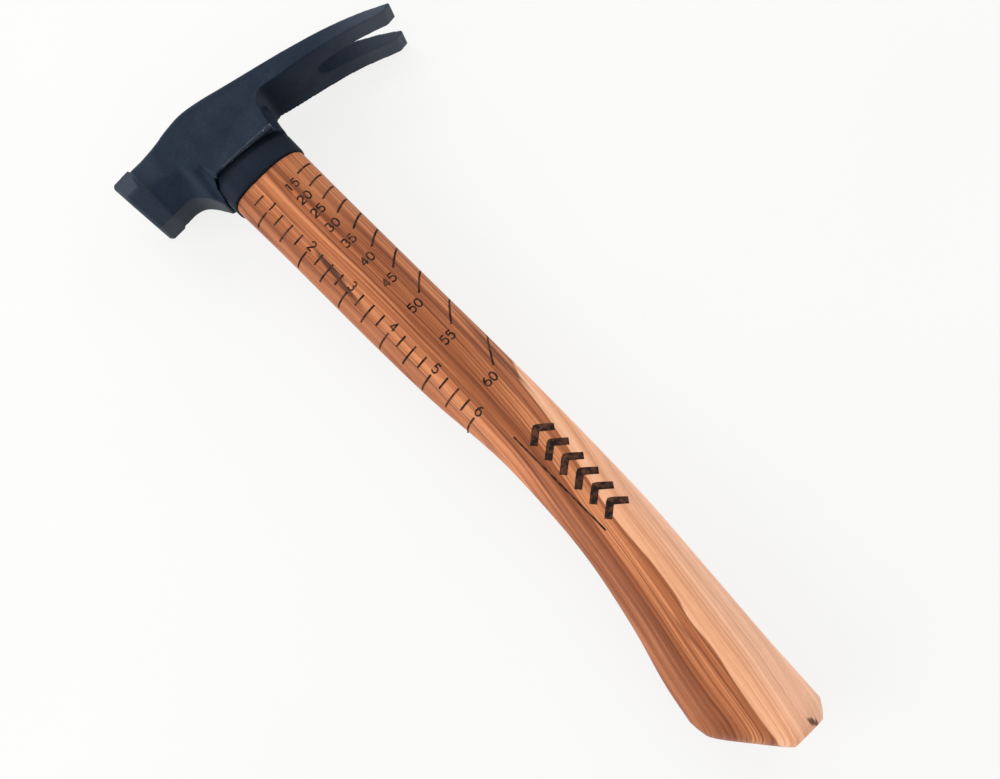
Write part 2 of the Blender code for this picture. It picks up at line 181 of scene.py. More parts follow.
# The collar's rounded lower edge, as (height above it, inset), and its drawn-in top, as
# (depth below it, inset).
COLLAR_FOOT = [(0.0, 0.9), (0.12, 0.42), (0.4, 0.12), (0.9, 0.0)]
COLLAR_WAIST = [
    (4.6, 0.0), (4.0, 0.04), (3.2, 0.25), (2.2, 0.68), (1.4, 0.92), (0.2, 1.0), (0.0, 1.2),
]

# Where the heartwood ends, as (x, y) on the marked side.
SAPWOOD_EDGE = [
    (-130.0, -24.0), (-145.0, -17.5), (-153.8, -14.1), (-171.6, -11.2), (-193.8, -6.3),
    (-212.1, -2.1), (-223.0, -0.1), (-244.9, 2.1), (-259.8, 4.7), (-269.8, 7.7),
    (-284.7, 9.5), (-300.4, 12.8), (-311.5, 14.7), (-333.0, 17.8),
]

# A line that the grain runs along, as (x, y). The grain opens out where the wood reaches
# further than GRAIN_REACH from it toward the face, and crowds where it reaches less far.
GRAIN_LINE = [
    (40.0, -20.0), (-60.0, -19.5), (-110.0, -18.2), (-150.0, -15.2), (-180.0, -11.0),
    (-212.0, -3.8), (-245.0, 2.0), (-285.0, 9.5), (-333.0, 17.8),
]
GRAIN_REACH = 30.0
GRAIN_OPENING = 0.7
GRAIN_DRIFT = 0.9

# Dark mineral spots on the marked side, as (x, y, slope, half length, half width, strength).
SPOTS = [
    (-67.0, 9.0, -0.115, 19.0, 1.7, 0.9), (-24.0, -3.0, -0.12, 4.5, 0.8, 0.55),
    (-160.0, 13.0, -0.1, 14.0, 0.9, 0.4), (-270.0, 12.0, -0.12, 12.0, 0.8, 0.45),
    (-141.0, -14.8, -0.05, 24.0, 1.8, 0.55), (-329.4, 2.2, 0.3, 3.0, 1.4, 0.85),
]
SPOT_RAGGED = 6.0

# The line of the claw's underside as seen from the side, for the painted shade below it.
CLAW_LINE = 23.7
CLAW_LINE_SLOPE = 0.286
COATING_TINT = (0.72, 0.86, 1.0, 1.0)

FLOOR_HALF = 30.0
FLOOR_GAP = 0.0002
FLOOR_GLOW = 0.80

# Marks burned into the handle.
INCH = 25.4
RULER_INCHES = 6
FIRST_QUARTER = 3
RULER_TOP = 6.5
QUARTER_END = 12.2
HALF_END = 15.5
INCH_START = 10.4
INCH_END = 17.6
TICK_WIDTH = 0.92
NUMBER_LINE = 7.2
PITCH_CENTRE = -92.6  # the angle marks all point at this y, just past the claw's tips
PITCH_INNER = -10.2
PITCH_OUTER = -17.6
PITCH_NUMBER_LINE = -5.2
PITCH_ANGLES = range(15, 61, 5)
DIGIT_HEIGHT = 4.3
DIGIT_PITCH = 0.78  # in digit heights
DIGIT_STROKE = 0.76
STROKE_STEP = 0.5
STROKE_COLUMN = 0.6
MARK_LIFT = 0.03
MARK_LIFT_STEP = 0.0004  # each stroke lies this much higher than the one before
CHEVRONS = 6
CHEVRON_START = -174.0
CHEVRON_PITCH = 8.4
CHEVRON_DEPTH = 4.6
CHEVRON_WIDTH = 3.2
THIN_RULE = [(-170.0, 4.9), (-223.0, 5.6)]
THIN_RULE_WIDTH = 0.8
ARC_STEPS = 14


def put(x, y, z):
    return ORIGIN + Vector((x, y, z)) * MM


def fade(value, start, end):
    """0 at the start, 1 at the end, straight between and level outside."""
    return min(1.0, max(0.0, (value - start) / (end - start)))


def curve_through(points, at):
    """A smooth curve through rows that start with their position, read at one position."""
    rows = sorted(points)
    places = [row[0] for row in rows]
    at = min(max(at, places[0]), places[-1])
    i = max(k for k in range(len(places) - 1) if places[k] <= at)
    span = places[i + 1] - places[i]
    u = (at - places[i]) / span
    found = []
    for column in range(1, len(rows[0])):
        values = [row[column] for row in rows]
        slopes = []
        for k in (i, i + 1):
            low = max(k - 1, 0)
            high = min(k + 1, len(rows) - 1)
            slopes.append((values[high] - values[low]) / (places[high] - places[low]) * span)
        a, b = values[i], values[i + 1]
        found.append(
            a * (2 * u**3 - 3 * u**2 + 1)
            + slopes[0] * (u**3 - 2 * u**2 + u)
            + b * (3 * u**2 - 2 * u**3)
            + slopes[1] * (u**3 - u**2)
        )
    return found if len(found) > 1 else found[0]


def smooth_rows(controls, steps):
    numbered = [(k, *row) for k, row in enumerate(controls)]
    count = (len(controls) - 1) * steps
    return [tuple(curve_through(numbered, k / steps)) for k in range(count + 1)]


# ---------------------------------------------------------------- meshes


def add_object(name, points, faces):
    mesh = bpy.data.meshes.new(name)
    mesh.from_pydata([put(*p) for p in points], [], faces)
    work = bmesh.new()
    work.from_mesh(mesh)
    bmesh.ops.recalc_face_normals(work, faces=work.faces)
    work.to_mesh(mesh)
    work.free()
    obj = bpy.data.objects.new(name, mesh)
    bpy.context.scene.collection.objects.link(obj)
    return obj


def mirrored_cap(count, start):
    """Quads across a ring whose second half mirrors its first half in z."""
    faces = []
    for k in range(count // 2):
        a, b = start + k, start + k + 1
        c, d = start + (count - 2 - k) % count, start + (count - 1 - k) % count
        face = list(dict.fromkeys((a, b, c, d)))
        if len(face) > 2 and b < start + (count + 1) // 2:
            faces.append(tuple(face))
    return faces


def loft(name, rings, closed=False):
    """A skin over rings of points, capped at both ends or joined into a loop."""
    count = len(rings[0])
    points = [p for ring in rings for p in ring]
    faces = [] if closed else mirrored_cap(count, 0) + mirrored_cap(count, (len(rings) - 1) * count)
    for r in range(len(rings) if closed else len(rings) - 1):
        s = (r + 1) % len(rings)
        for k in range(count):
            n = (k + 1) % count
            faces.append((r * count + k, r * count + n, s * count + n, s * count + k))
    return add_object(name, points, faces)


def oval(x, centre, half_long, half_short, slope=0.0, front=SQUARENESS):
    ring = []
    for k in range(AROUND):
        angle = 2 * math.pi * (k + 0.5) / AROUND
        c, s = math.cos(angle), math.sin(angle)
        power = 2 / (front if c > 0 else SQUARENESS)
        y = centre + half_long * math.copysign(abs(c) ** power, c)
        z = half_short * math.copysign(abs(s) ** power, s)
        ring.append((x + slope * y, y, z))
    return ring


def front_at(x):
    """The squareness of the handle's side toward the face at x."""
    return SQUARENESS + (COLLAR_SQUARENESS - SQUARENESS) * fade(x, SQUARE_END, COLLAR_BOTTOM)


def grip_ring(x, face, claw, half):
    return oval(x, (face + claw) / 2, (face - claw) / 2, half, 0.0, front_at(x))


def collar_ring(x, grow, rise=0.0, slope=0.0):
    half = COLLAR_HALF_LONG + grow + rise / 2
    short = COLLAR_HALF_SHORT + grow
    return oval(x, COLLAR_CENTRE - rise / 2, half, short, slope, COLLAR_SQUARENESS)


def finish_mesh(obj, modifiers):
    """Applies the modifiers, given as (type, settings)."""
    for kind, settings in modifiers:
        modifier = obj.modifiers.new(kind.title(), kind)
        for key, value in settings.items():
            setattr(modifier, key, value)
    graph = bpy.context.evaluated_depsgraph_get()
    made = bpy.data.meshes.new_from_object(obj.evaluated_get(graph))
    obj.modifiers.clear()
    obj.data = made


def cut(obj, cutters, added=()):
    steps = [("BOOLEAN", {"operation": "UNION", "object": a}) for a in added]
    steps += [("BOOLEAN", {"operation": "DIFFERENCE", "object": c}) for c in cutters]
    finish_mesh(obj, steps)
    for cutter in [*added, *cutters]:
        bpy.data.objects.remove(cutter, do_unlink=True)


def shade(obj, degrees):
    for polygon in obj.data.polygons:
        polygon.use_smooth = True
    obj.data.set_sharp_from_angle(angle=math.radians(degrees))


def dress(obj, material, replaced=None):
    obj.data.materials.clear()
    obj.data.materials.append(material)
    if replaced:
        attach(obj, "root")
        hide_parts(replaced)


# ---------------------------------------------------------------- head


def head_ring(top, bottom, rows):
    side = []
    for share, half in rows:
        y = bottom[0] + (top[0] - bottom[0]) * share
        x = bottom[1] + (top[1] - bottom[1]) * share
        side.append((x, y, half))
    return side + [(x, y, -z) for x, y, z in reversed(side)]


def poll_rings():
    middle = (POLL_WIDEST - POLL_BOTTOM) / (POLL_TOP - POLL_BOTTOM)
    rings = []
    for inset, depth in ((FACE_CHAMFER, 0.0), (0.0, FACE_CHAMFER), (0.0, None)):
        if depth is None:
            top = (POLL_BACK, POLL_TOP + POLL_SWELL)
            bottom = (POLL_BACK - 0.4, POLL_BOTTOM)
        else:
            top = (FACE_TOP - depth, POLL_TOP - inset)
            bottom = (FACE_BOTTOM - depth, POLL_BOTTOM + inset)
        flat = POLL_FLAT_HALF - inset * 0.5
        wide = POLL_HALF_WIDTH - inset
        rows = [
            (0.0, flat), (middle - 0.03, wide), (middle + 0.03, wide),
            (0.9, flat + (wide - flat) * 0.2), (1.0, flat),
        ]
        ring = head_ring(top, bottom, rows)
        if depth is None:
            bow = POLL_BACK_BOW / (wide - flat)
            ring = [(x, y + bow * (abs(z) - flat), z) for x, y, z in ring]
        rings.append(ring)
    return rings


def body_ring(top_y, bottom_y, bottom_x, bottom_half, share_1, half_1, share_2, half_2):
    top = (top_y, curve_through(TOP_LINE, top_y))
    half_top = curve_through(TOP_WIDTH, top_y)
    height = math.hypot(top[0] - bottom_y, top[1] - bottom_x)
    edge = 1 - TOP_EDGE / height
    rows = [
        (0.0, bottom_half), (share_1, half_1), (share_2, half_2),
        (edge, half_top), (1.0, half_top - TOP_EDGE),
    ]
    return head_ring(top, (bottom_y, bottom_x), rows)


def underside(y):
    return UNDERSIDE + UNDERSIDE_SLOPE * y


def head_rings():
    """The rings from the neck to the claw's tips.

    Columns are (top y, bottom y, bottom x, half width there, share, half, share, half). The
    nose, the cheek and the wall each start with the row that the part before them ends with.
    """
    neck = [
        (39.5, 39.5, 6.2, 7.8, 0.47, 14.4, 0.56, 14.4),
        (35.0, 35.5, 6.2, 8.2, 0.46, 15.0, 0.58, 14.8),
        (30.5, 31.5, 6.2, 8.5, 0.44, 15.0, 0.60, 14.6),
        (26.5, 27.6, 4.6, 8.6, 0.42, 12.9, 0.62, 13.2),
        (23.5, 24.4, 1.0, 8.8, 0.42, 12.6, 0.62, 13.2),
        (21.5, 22.3, -2.8, 8.8, 0.42, 13.7, 0.62, 13.7),
        (20.4, 20.9, -6.2, 7.2, 0.42, 14.1, 0.62, 13.9),
    ]
    lip = [
        (19.8, 15.5, -6.0, 9.6, 0.42, 14.2, 0.62, 14.0),
        (17.8, 15.2, 0.0, 12.0, 0.32, 14.2, 0.61, 14.0),
    ]
    nose = [
        lip[1],
        (15.8, 14.6, 2.2, 13.5, 0.12, 14.3, 0.58, 14.1),
        (13.6, 13.4, underside(13.4), 14.4, 0.03, CHEEK_HALF, 0.56, 14.2),
    ]
    cheek = [
        nose[-1],
        (7.0, 7.0, underside(7.0), 14.9, 0.13, CHEEK_HALF, 0.56, 14.2),
        (0.0, 0.0, underside(0.0), 15.5, 0.27, CHEEK_HALF, 0.60, 14.2),
        (-9.0, -9.0, underside(-9.0), 16.1, 0.43, CHEEK_HALF, 0.66, 14.2),
        (-17.0, -17.2, underside(-17.2), CHEEK_HALF + CHEEK_FLARE, 0.50, CHEEK_HALF, 0.72, 14.2),
    ]
    wall = [
        cheek[-1],
        (-18.5, -17.8, 6.0, 16.3, 0.39, CHEEK_HALF, 0.68, 14.1),
        (-20.1, -18.9, 10.7, 16.3, 0.25, 14.5, 0.60, 14.1),
        (-21.9, -20.7, 13.9, 16.3, 0.16, 14.6, 0.55, 14.1),
        (-23.9, -23.0, 15.7, 16.4, 0.14, 14.7, 0.50, 14.1),
        (-26.2, -25.8, 16.3, 16.6, 0.18, 14.8, 0.50, 14.1),
    ]
    rings = [body_ring(*row) for row in smooth_rows(neck, 7) + lip]
    for part, steps in ((nose, 5), (cheek, 5), (wall, 6)):
        rings += [body_ring(*row) for row in smooth_rows(part, steps)[1:]]
    y = CLAW_ROOT
    while y > CLAW_END:
        x, half = curve_through(CLAW_UNDERSIDE, y)
        share = curve_through(CLAW_STRIP, y)
        half_top = curve_through(TOP_WIDTH, y)
        blend = fade(y, -30.0, -54.0)
        flank = CLAW_FLANK + 0.2 * blend
        low = flank * (1 - blend) + (half + (half_top - half) * share) * blend
        second = share + (1 - share) * 0.45
        high = half_top + (low - half_top) * 0.4
        rings.append(body_ring(y, y, x, half, share, low, second, high))
        y -= CLAW_STEP
    rings.append(head_ring(
        (CLAW_TIP, 1.0), (CLAW_TIP + 0.1, 0.3),
        [(0.0, CLAW_TIP_HALF), (0.3, CLAW_TIP_HALF), (0.5, CLAW_TIP_HALF),
         (0.8, CLAW_TIP_HALF), (1.0, CLAW_TIP_HALF - 0.1)],
    ))
    return rings


def slot_cutter():
    rings = []
    for y, half_top, half_under in SLOT:
        high = curve_through(TOP_LINE, y) + SLOT_PAST
        low = curve_through(CLAW_UNDERSIDE, y)[0] - SLOT_PAST
        corners = ((high, half_top), (low, half_under), (low, -half_under), (high, -half_top))
        rings.append([(x, y, z) for x, z in corners])
    return loft("slot_cutter", rings)


def eye_cutter():
    low = oval(EYE_LOW, EYE_CENTRE, EYE_HALF_LONG, EYE_HALF_SHORT)
    high = oval(EYE_HIGH, EYE_CENTRE, EYE_HALF_LONG + EYE_FLARE, EYE_HALF_SHORT + EYE_FLARE)
    return loft("eye_cutter", [low, high])


def make_boss():
    rings = []
    for x, reach in BOSS:
        centre, half = (BOSS_FRONT - reach) / 2, (BOSS_FRONT + reach) / 2
        rings.append(oval(x, centre, half, BOSS_HALF))
    return loft("boss", rings)


def pocket_cutter():
    return loft("pocket_cutter", [
        collar_ring(COLLAR_BOTTOM - CUT_PAST, GAP),
        collar_ring(UNDERSIDE + COLLAR_SINK, GAP, COLLAR_RISE, UNDERSIDE_SLOPE),
    ])


def mark_edges(mesh):
    """Writes how sharply the skin bends outward at each point, from 0 to 1."""
    work = bmesh.new()
    work.from_mesh(mesh)
    work.normal_update()
    values = []
    for vertex in work.verts:
        x, y, _ = (vertex.co - ORIGIN) / MM
        if x < WEAR_LOW and not WEAR_ENDS[0] < y < WEAR_ENDS[1]:
            values.append(0.0)
            continue
        near = [e.other_vert(vertex).co for e in vertex.link_edges]
        middle = sum(near, Vector()) / len(near)
        reach = sum((c - vertex.co).length for c in near) / len(near)
        values.append(max(0.0, (vertex.co - middle).dot(vertex.normal) / reach))
    for _ in range(2):
        values = [
            0.5 * values[v.index]
            + 0.5 * max(values[e.other_vert(v).index] for e in v.link_edges)
            for v in work.verts
        ]
    work.free()
    edge = mesh.attributes.new("edge", "FLOAT", "POINT")
    edge.data.foreach_set("value", [min(1.0, v * WEAR_GAIN) for v in values])


def soften_neck(head):
    """Marks the neck for rounding, short of the collar's pocket, and the claw a little."""
    group = head.vertex_groups.new(name="neck")
    for vertex in head.data.vertices:
        y = (vertex.co.y - ORIGIN.y) / MM
        share = fade(y, *NECK_FROM) * fade(y, *NECK_TO)
        share = max(share, CLAW_ROUNDING * fade(y, *CLAW_FROM))
        if share > 0:
            group.add([vertex.index], share, "REPLACE")


def make_head():
    head = loft("head_forged", poll_rings() + head_rings())
    cut(head, [pocket_cutter(), eye_cutter(), slot_cutter()], [make_boss()])
    finish_mesh(head, [
        ("REMESH", {"mode": "VOXEL", "voxel_size": VOXEL * MM}),
        ("SMOOTH", {"factor": 0.5, "iterations": 5}),
    ])
    soften_neck(head)
    finish_mesh(head, [
        ("SMOOTH", {"factor": 0.5, "iterations": 30, "vertex_group": "neck"}),
        ("DECIMATE", {"ratio": 0.55}),
    ])
    mark_edges(head.data)
    shade(head, 60)
    return head


# ---------------------------------------------------------------- handle and collar


def wedge_cutter(name, x_low, x_high, y_low, y_high, z_low, z_high, along):
    rings = []
    for x, y, z in ((x_low, y_low, z_low), (x_high, y_high, z_high)):
        rings.append([(x, along + y, z), (x, along - y, z), (x, along - y, -z), (x, along + y, -z)])
    return loft(name, rings)


def grip_at(x):
    """Toward the face, toward the claw and half thickness of the handle at x."""
    return curve_through(GRIP, x)


def make_handle():
    flare = EYE_FLARE * TENON_FLARE - GAP
    square = COLLAR_SQUARENESS
    rebate = (COLLAR_BORE_LONG - GAP, COLLAR_BORE_SHORT - GAP)
    top = oval(0, EYE_CENTRE, EYE_HALF_LONG + flare, EYE_HALF_SHORT + flare)
    # The tenon, the rebate under the collar, and the grip's rounded shoulder.
    rings = [
        [(curve_through(TOP_LINE, y) - GAP, y, z) for _, y, z in top],
        oval(0.4, EYE_CENTRE, EYE_HALF_LONG - GAP, EYE_HALF_SHORT - GAP),
        oval(-0.2, 0.0, rebate[0] - 0.6, rebate[1] - 0.6, 0.0, square),
        oval(-0.8, 0.0, *rebate, 0.0, square),
        oval(COLLAR_BOTTOM - GAP, 0.0, *rebate, 0.0, square),
        oval(GRIP[0][0] - 0.03, -0.15, 18.0, 12.0, 0.0, square),
        oval(GRIP[0][0] - 0.18, -0.15, 18.4, 12.4, 0.0, square),
    ]
    x = GRIP[0][0] - 0.7
    while x > GRIP[-1][0]:
        rings.append(grip_ring(x, *grip_at(x)))
        x -= GRIP_STEP
    butt = smooth_rows([GRIP[-1]] + BUTT[:3], 4) + smooth_rows(BUTT[2:], 3)[1:]
    rings += [grip_ring(*row) for row in butt]
    last = butt[-1]
    for inset, depth in ((0.5, 0.12), (1.2, 0.16)):
        rings.append(oval(last[0] + 0.16 - depth, (last[1] + last[2]) / 2,
                          (last[1] - last[2]) / 2 - inset, last[3] - inset))
    handle = loft("handle_wood", rings)
    cutters = [wedge_cutter("kerf", KERF_BOTTOM, KERF_TOP, KERF_REACH, KERF_REACH,
                            *KERF_HALVES, 0.0)]
    for y in SLITS:
        top = curve_through(TOP_LINE, y)
        cutters.append(wedge_cutter("slit", top - SLIT_DEPTH, top + CUT_PAST, *SLIT_HALVES,
                                    SLIT_REACH, SLIT_REACH, y))
    cut(handle, cutters)
    write_grain(handle.data)
    shade(handle, 32)
    return handle


def write_grain(mesh):
    """Each point's place in the wood, and how far inside the heartwood it lies.

    The place is along the grain, across the rings, and through them.
    """
    mesh.attributes.new("grain", "FLOAT_VECTOR", "POINT")
    mesh.attributes.new("heartwood", "FLOAT", "POINT")
    grain, heart = mesh.attributes["grain"], mesh.attributes["heartwood"]
    last_sapwood = SAPWOOD_EDGE[0][0]
    for vertex, place_in, inside in zip(mesh.vertices, grain.data, heart.data):
        x, y, z = (vertex.co - ORIGIN) / MM
        drift = GRAIN_DRIFT * noise.noise(Vector((x * 0.012, y * 0.02, z * 0.02)))
        line = curve_through(GRAIN_LINE, x)
        spread = (GRAIN_REACH / (grip_at(x)[0] - line)) ** GRAIN_OPENING
        place_in.vector = (x, (y - line) * spread + drift, z)
        edge = curve_through(SAPWOOD_EDGE, x)
        if x > last_sapwood:
            edge -= x - last_sapwood
        inside.value = y - edge + drift


def make_collar():
    top = UNDERSIDE + COLLAR_SINK - GAP
    rings = []
    for lift, inset in COLLAR_FOOT:
        rings.append(collar_ring(COLLAR_BOTTOM + lift, -inset))
    for drop, inset in COLLAR_WAIST:
        slope = UNDERSIDE_SLOPE * (1 - drop / COLLAR_WAIST[0][0])
        rings.append(collar_ring(top - drop, -inset, COLLAR_RISE, slope))
    for x, slope in ((top, UNDERSIDE_SLOPE), (COLLAR_BOTTOM, 0.0)):
        rings.append(oval(x, 0.0, COLLAR_BORE_LONG, COLLAR_BORE_SHORT, slope, COLLAR_SQUARENESS))
    collar = loft("collar_sleeve", rings, closed=True)
    shade(collar, 50)
    return collar


# ---------------------------------------------------------------- burned marks


def skin(x, y):
    """The point of the handle's marked side at (x, y), and the outward normal there."""
    face, claw, half = grip_at(x)
    centre, reach = (face + claw) / 2, (face - claw) / 2
    s = min(1.0, abs(y - centre) / reach)
    power = front_at(x) if y > centre else SQUARENESS
    z = half * (1 - s**power) ** (1 / power)
    out = Vector((
        0.0,
        math.copysign(s ** (power - 1) / reach, y - centre),
        (z / half) ** (power - 1) / half,
    ))
    return Vector((x, y, z)), out.normalized()


class Marks:
    """Collects thin strips that lie on the handle's skin."""

    def __init__(self):
        self.points = []
        self.faces = []
        self.lift = MARK_LIFT

    def stroke(self, line, width):
        """A strip of this width along a line of (x, y) points on the skin."""
        path = [line[0]]
        for a, b in zip(line, line[1:]):
            count = max(1, math.ceil(math.dist(a, b) / STROKE_STEP))
            path += [(a[0] + (b[0] - a[0]) * k / count, a[1] + (b[1] - a[1]) * k / count)
                     for k in range(1, count + 1)]
        columns = max(2, math.ceil(width / STROKE_COLUMN)) + 1
        start = len(self.points)
        for i, (x, y) in enumerate(path):
            before, after = path[max(i - 1, 0)], path[min(i + 1, len(path) - 1)]
            point, out = skin(x, y)
            ahead = skin(*after)[0] - skin(*before)[0]
            side = ahead.cross(out).normalized()
            for c in range(columns):
                place = point + side * width * (c / (columns - 1) - 0.5)
                found, normal = skin(place.x, place.y)
                self.points.append(found + normal * self.lift)
            if i:
                for c in range(columns - 1):
                    a = start + (i - 1) * columns + c
                    self.faces.append((a, a + 1, a + columns + 1, a + columns))
        self.lift += MARK_LIFT_STEP

    def make(self, name):
        obj = add_object(name, self.points, self.faces)
        for polygon in obj.data.polygons:
            polygon.use_smooth = True
        return obj


def arc(x, y, wide, high, start, end):
    points = []
    for k in range(ARC_STEPS + 1):
        angle = math.radians(start + (end - start) * k / ARC_STEPS)
        points.append((x + wide * math.cos(angle), y + high * math.sin(angle)))
    return points


# Each digit as strokes in a box 0.62 wide and 1 high, with its middle at 0, 0.
DIGITS = {
    "0": [arc(0, 0, 0.28, 0.46, 90, 450)],
    "1": [[(-0.12, 0.3), (0.04, 0.46), (0.04, -0.46)]],
    "2": [arc(0, 0.2, 0.26, 0.26, 170, -40) + [(-0.27, -0.46), (0.3, -0.46)]],
    "3": [arc(-0.02, 0.22, 0.24, 0.24, 150, -80), arc(-0.02, -0.2, 0.28, 0.26, 80, -150)],
    "4": [[(0.12, -0.46), (0.12, 0.46), (-0.3, -0.2), (0.3, -0.2)]],
    "5": [[(0.24, 0.46), (-0.2, 0.46), (-0.24, 0.04)] + arc(-0.02, -0.16, 0.28, 0.3, 130, -150)],
    "6": [arc(0.16, -0.1, 0.44, 0.56, 95, 180) + arc(0, -0.17, 0.28, 0.29, 180, 540)],
}


def write_number(marks, text, x, y, right, up):
    """Digits centred on (x, y) of the skin. right and up are unit steps in (x, y)."""
    pitch = DIGIT_PITCH * DIGIT_HEIGHT
    for k, digit in enumerate(text):
        shift = (k - (len(text) - 1) / 2) * pitch
        for line in DIGITS[digit]:
            placed = []
            for u, v in line:
                u = u * DIGIT_HEIGHT + shift
                v = v * DIGIT_HEIGHT
                placed.append((x + right[0] * u + up[0] * v, y + right[1] * u + up[1] * v))
            marks.stroke(placed, DIGIT_STROKE)


def make_ruler():
    marks = Marks()
    for quarter in range(FIRST_QUARTER, RULER_INCHES * 4 + 1):
        x = -quarter * INCH / 4
        if quarter % 4 == 0:
            marks.stroke([(x, INCH_START), (x, INCH_END)], TICK_WIDTH)
            write_number(marks, str(quarter // 4), x, NUMBER_LINE, (-1, 0), (0, -1))
        else:
            end = HALF_END if quarter % 4 == 2 else QUARTER_END
            marks.stroke([(x, RULER_TOP), (x, end)], TICK_WIDTH)
    for angle in PITCH_ANGLES:
        slope = math.tan(math.radians(angle))
        inner = (-(PITCH_INNER - PITCH_CENTRE) * slope, PITCH_INNER)
        outer = (-(PITCH_OUTER - PITCH_CENTRE) * slope, PITCH_OUTER)
        marks.stroke([inner, outer], TICK_WIDTH)
        number_x = inner[0] - 2.2 - 0.02 * angle
        write_number(marks, str(angle), number_x, PITCH_NUMBER_LINE, (0, -1), (1, 0))
    return marks.make("burned_ruler")


def make_ornament():
    """A plain band of chevrons over a thin rule."""
    marks = Marks()
    for k in range(CHEVRONS):
        x = CHEVRON_START - CHEVRON_PITCH * k
        arms = x - CHEVRON_DEPTH
        marks.stroke([(arms, -9.6 + 0.05 * k), (x, -3.9), (arms, 1.8)], CHEVRON_WIDTH)
    marks.stroke(THIN_RULE, THIN_RULE_WIDTH)
    return marks.make("burned_ornament")


# ---------------------------------------------------------------- materials


def new_material(name, roughness, metallic=0.0):
    material = bpy.data.materials.new(name)
    material.use_nodes = True
    tree = material.node_tree
    shader = tree.nodes["Principled BSDF"]
    shader.inputs["Roughness"].default_value = roughness
    shader.inputs["Metallic"].default_value = metallic
    return material, tree, shader


def node(tree, kind, inputs=None, **settings):
    made = tree.nodes.new("ShaderNode" + kind)
    for key, value in settings.items():
        setattr(made, key, value)
    for key, value in (inputs or {}).items():
        if isinstance(value, bpy.types.NodeSocket):
            tree.links.new(value, made.inputs[key])
        else:
            made.inputs[key].default_value = value
    return made


def maths(tree, operation, *values, clamp=False):
    made = node(tree, "Math", dict(enumerate(values)), operation=operation, use_clamp=clamp)
    return made.outputs[0]


def times(tree, first, *others):
    for other in others:
        first = maths(tree, "MULTIPLY", first, other)
    return first


def plus(tree, a, b):
    return maths(tree, "ADD", a, b)


def minus(tree, a, b):
    return maths(tree, "SUBTRACT", a, b)


def mix(tree, factor, a, b, blend="MIX"):
    made = node(tree, "Mix", {0: factor, 6: a, 7: b}, data_type="RGBA", blend_type=blend)
    return made.outputs[2]


def ramp(tree, factor, stops):
    made = node(tree, "ValToRGB", {0: factor})
    elements = made.color_ramp.elements
    while len(elements) < len(stops):
        elements.new(0.5)
    for element, (place, colour) in zip(elements, stops):
        element.position = place
        element.color = (*colour, 1.0)
    return made.outputs[0]


def noise_at(tree, vector, scale, detail=2.0, rough=0.5):
    return node(tree, "TexNoise", {
        "Vector": vector, "Scale": scale, "Detail": detail, "Roughness": rough,
    }).outputs[0]


def stretched(tree, vector, scale):
    return node(tree, "VectorMath", {0: vector, 1: scale}, operation="MULTIPLY").outputs[0]


def smooth_step(tree, value, low, high):
    return node(tree, "MapRange", {"Value": value, "From Min": low, "From Max": high},
                interpolation_type="SMOOTHSTEP").outputs[0]


def spread_over(tree, value, low, high):
    """A value from 0 to 1 brought to run from low to high."""
    return node(tree, "MapRange", {"Value": value, "To Min": low, "To Max": high}).outputs[0]


def bump(tree, shader, height, distance):
    made = node(tree, "Bump", {"Height": height, "Distance": distance})
    tree.links.new(made.outputs[0], shader.inputs["Normal"])


def object_space(tree):
    return node(tree, "TexCoord").outputs["Object"]


def local_axes(tree):
    """The place in local millimetres, as three values."""
    parts = node(tree, "SeparateXYZ", {0: object_space(tree)}).outputs
    return [maths(tree, "DIVIDE", minus(tree, parts[k], ORIGIN[k]), MM) for k in range(3)]


